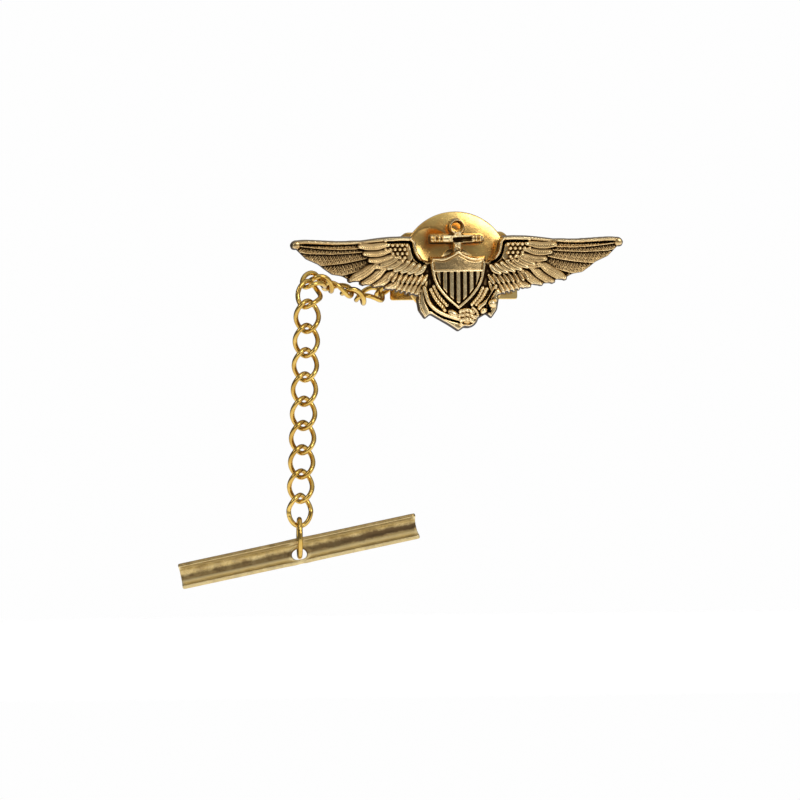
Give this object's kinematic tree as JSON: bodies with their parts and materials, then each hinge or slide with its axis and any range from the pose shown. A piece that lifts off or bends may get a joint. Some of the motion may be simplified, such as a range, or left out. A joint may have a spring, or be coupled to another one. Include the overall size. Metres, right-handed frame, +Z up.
{
  "type": "pilot wings pin",
  "caption": "Struck wings emblem with shield and anchor on a tack post, with a squeeze clutch and a curb chain to a buttonhole bar.",
  "frame": {"origin": "on the tack post's axis, in the plane of the shield's flat face", "axes": "+Z up the anchor, -Y out of the emblem's face towards a viewer, +X along the wings to the viewer's right"},
  "size_m": [0.0435, 0.0159, 0.0358],
  "materials": {
    "badge_gold": "satin",
    "pad_gold": "satin",
    "post_gold": "polished",
    "clutch_gold": "polished",
    "ear_gold": "polished",
    "chain_gold": "polished",
    "bar_gold": "satin"
  },
  "bodies": {
    "badge": {"wings_badge": "badge_gold", "post_pad": "pad_gold", "tack_post": "post_gold"},
    "clutch": {"clutch_base": "clutch_gold", "clutch_housing": "clutch_gold"},
    "left_ear": {"squeeze_wing_left": "ear_gold"},
    "right_ear": {"squeeze_wing_right": "ear_gold"},
    "clutch_ring": {"clutch_ring": "chain_gold"},
    "link_01": {"chain_link_01": "chain_gold"},
    "link_02": {"chain_link_02": "chain_gold"},
    "link_03": {"chain_link_03": "chain_gold"},
    "link_04": {"chain_link_04": "chain_gold"},
    "link_05": {"chain_link_05": "chain_gold"},
    "link_06": {"chain_link_06": "chain_gold"},
    "link_07": {"chain_link_07": "chain_gold"},
    "link_08": {"chain_link_08": "chain_gold"},
    "link_09": {"chain_link_09": "chain_gold"},
    "link_10": {"chain_link_10": "chain_gold"},
    "link_11": {"chain_link_11": "chain_gold"},
    "link_12": {"chain_link_12": "chain_gold"},
    "link_13": {"chain_link_13": "chain_gold"},
    "link_14": {"chain_link_14": "chain_gold"},
    "link_15": {"chain_link_15": "chain_gold"},
    "bar_ring": {"bar_ring": "chain_gold"},
    "bar": {"t_bar": "bar_gold"}
  },
  "joints": [
    {"name": "clutch_slide", "type": "slide", "parent": "badge", "child": "clutch", "axis": [0, 1, 0], "range_m": [0, 0.0085]},
    {"name": "squeeze_left", "type": "hinge", "parent": "clutch", "child": "left_ear", "pos_m": [-0.0022, 0.00415, 0], "axis": [0, 0, -1], "range_deg": [0, 7], "stiffness_Nm_per_rad": 0.002},
    {"name": "squeeze_right", "type": "hinge", "parent": "clutch", "child": "right_ear", "pos_m": [0.0022, 0.00415, 0], "axis": [0, 0, 1], "range_deg": [0, 7], "stiffness_Nm_per_rad": 0.002},
    {"name": "clutch_ring_swing", "type": "hinge", "parent": "left_ear", "child": "clutch_ring", "pos_m": [-0.0054, 0.00524, -0.0012], "axis": [0.0872, 0.9497, -0.3008], "range_deg": [-12, 2]},
    {"name": "link_01_swing", "type": "hinge", "parent": "clutch_ring", "child": "link_01", "pos_m": [-0.00725, 0.00498, -0.00255], "axis": [0.5221, -0.6115, -0.5945], "range_deg": [-3, 20]},
    {"name": "link_02_swing", "type": "hinge", "parent": "link_01", "child": "link_02", "pos_m": [-0.00916, 0.00374, -0.00296], "axis": [0.4991, -0.5524, -0.6676], "range_deg": [-3, 20]},
    {"name": "link_03_swing", "type": "hinge", "parent": "link_02", "child": "link_03", "pos_m": [-0.0104, 0.00189, -0.00236], "axis": [0.1807, 0.19, 0.965], "range_deg": [-10, 20]},
    {"name": "link_04_swing", "type": "hinge", "parent": "link_03", "child": "link_04", "pos_m": [-0.01247, 0.00102, -0.0018], "axis": [-0.1534, -0.2489, -0.9563], "range_deg": [-7, 20]},
    {"name": "link_05_swing", "type": "hinge", "parent": "link_04", "child": "link_05", "pos_m": [-0.01364, -0.00086, -0.00112], "axis": [-0.8528, 0.4219, -0.3078], "range_deg": [-5, 20]},
    {"name": "link_06_swing", "type": "hinge", "parent": "link_05", "child": "link_06", "pos_m": [-0.01443, -0.00293, -0.00176], "axis": [-0.9239, 0.3762, -0.07], "range_deg": [-7, 20]},
    {"name": "link_07_swing", "type": "hinge", "parent": "link_06", "child": "link_07", "pos_m": [-0.01485, -0.00429, -0.00358], "axis": [-0.9717, 0.2312, 0.0492], "range_deg": [-10, 20]},
    {"name": "link_08_swing", "type": "hinge", "parent": "link_07", "child": "link_08", "pos_m": [-0.01497, -0.00429, -0.00589], "axis": [0, 1, 0], "range_deg": [-20, 20]},
    {"name": "link_09_swing", "type": "hinge", "parent": "link_08", "child": "link_09", "pos_m": [-0.01508, -0.00429, -0.00819], "axis": [0.9987, 0, -0.0506], "range_deg": [-20, 20]},
    {"name": "link_10_swing", "type": "hinge", "parent": "link_09", "child": "link_10", "pos_m": [-0.0152, -0.00429, -0.0105], "axis": [0, -1, 0], "range_deg": [-20, 20]},
    {"name": "link_11_swing", "type": "hinge", "parent": "link_10", "child": "link_11", "pos_m": [-0.01532, -0.00429, -0.01281], "axis": [-0.9987, 0, 0.0506], "range_deg": [-20, 20]},
    {"name": "link_12_swing", "type": "hinge", "parent": "link_11", "child": "link_12", "pos_m": [-0.01543, -0.00429, -0.01512], "axis": [0, 1, 0], "range_deg": [-20, 20]},
    {"name": "link_13_swing", "type": "hinge", "parent": "link_12", "child": "link_13", "pos_m": [-0.01555, -0.00429, -0.01742], "axis": [0.9987, 0, -0.0506], "range_deg": [-20, 20]},
    {"name": "link_14_swing", "type": "hinge", "parent": "link_13", "child": "link_14", "pos_m": [-0.01567, -0.00429, -0.01973], "axis": [0, -1, 0], "range_deg": [-20, 20]},
    {"name": "link_15_swing", "type": "hinge", "parent": "link_14", "child": "link_15", "pos_m": [-0.01579, -0.00429, -0.02204], "axis": [-0.9987, 0, 0.0506], "range_deg": [-20, 20]},
    {"name": "bar_ring_swing", "type": "hinge", "parent": "link_15", "child": "bar_ring", "pos_m": [-0.0159, -0.00429, -0.02434], "axis": [1, 0, 0], "range_deg": [-20, 20]},
    {"name": "bar_turn", "type": "hinge", "parent": "bar_ring", "child": "bar", "pos_m": [-0.0159, -0.00369, -0.02749], "axis": [0, -1, 0], "range_deg": [-50, 28]}
  ],
  "couplings": [
    {"joint": "squeeze_right", "follows": "squeeze_left", "ratio": 1}
  ]
}
